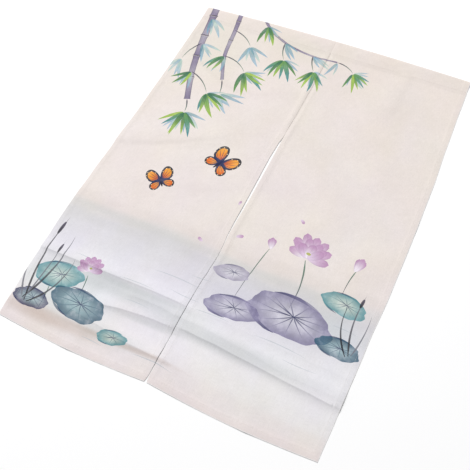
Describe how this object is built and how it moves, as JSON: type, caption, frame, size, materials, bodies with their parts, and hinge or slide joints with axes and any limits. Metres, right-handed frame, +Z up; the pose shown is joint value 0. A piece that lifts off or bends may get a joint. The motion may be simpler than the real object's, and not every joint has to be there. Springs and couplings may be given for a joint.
{
  "type": "door curtain",
  "caption": "Split door curtain of hemmed printed cloth, laid flat with soft folds, its panels joined above the slit under a flat rod sleeve.",
  "frame": {"origin": "middle of the footprint, on the surface that the curtain lies on", "axes": "+X across the width to the viewer's right, +Y up the curtain towards its rod sleeve, +Z up out of the printed face"},
  "size_m": [0.8749, 1.1824, 0.0079],
  "materials": {
    "printed_cloth": "matte plain-weave polyester and linen cloth with slubs, printed on its face",
    "sleeve_cloth": "the same matte printed cloth, turned over and sewn down as a flat tube"
  },
  "bodies": {
    "root": {"panel_left": "printed_cloth", "panel_right": "printed_cloth", "rod_sleeve": "sleeve_cloth"}
  },
  "joints": []
}
